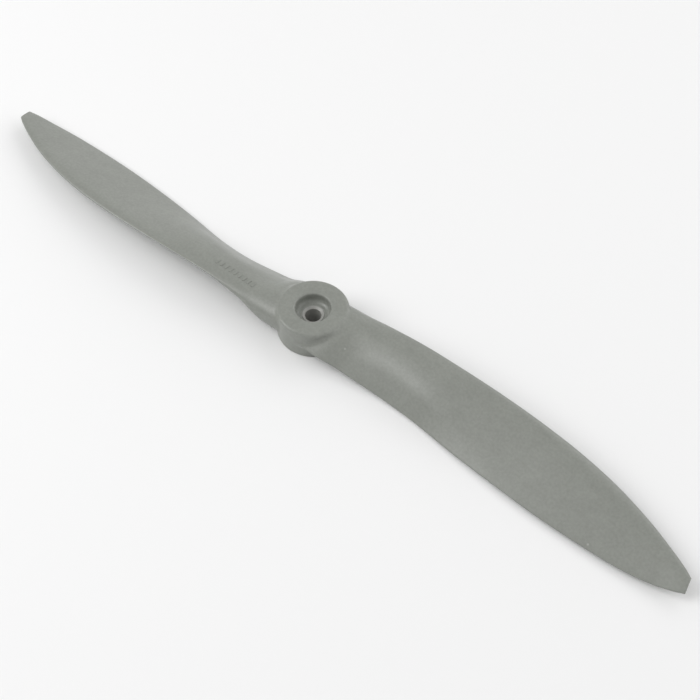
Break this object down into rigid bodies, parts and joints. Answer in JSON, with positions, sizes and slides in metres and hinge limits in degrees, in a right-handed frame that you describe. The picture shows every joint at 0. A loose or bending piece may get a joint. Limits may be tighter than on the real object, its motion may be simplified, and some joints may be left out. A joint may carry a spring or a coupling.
{
  "type": "model aircraft propeller",
  "caption": "Fixed-pitch model aircraft propeller with swept, twisted blades on a recessed round hub and a removable shaft reducer bush.",
  "frame": {"origin": "on the shaft axis at the hub's rear clamping face", "axes": "+Z along the shaft axis towards the front (thrust direction), +X along blade_1, so that both blades lead with the edge that moves towards +Y at blade_1"},
  "size_m": [0.254, 0.026, 0.0098],
  "materials": {
    "moulding": "satin moulded, glass-filled nylon, mid grey",
    "bush": "satin moulded, light grey"
  },
  "bodies": {
    "propeller": {"hub": "moulding", "blade_1": "moulding", "blade_2": "moulding"},
    "bush": {"shaft_bush": "bush"}
  },
  "joints": [
    {"name": "bush_slide", "type": "slide", "parent": "propeller", "child": "bush", "axis": [0, 0, 1], "range_m": [0, 0.01]}
  ]
}
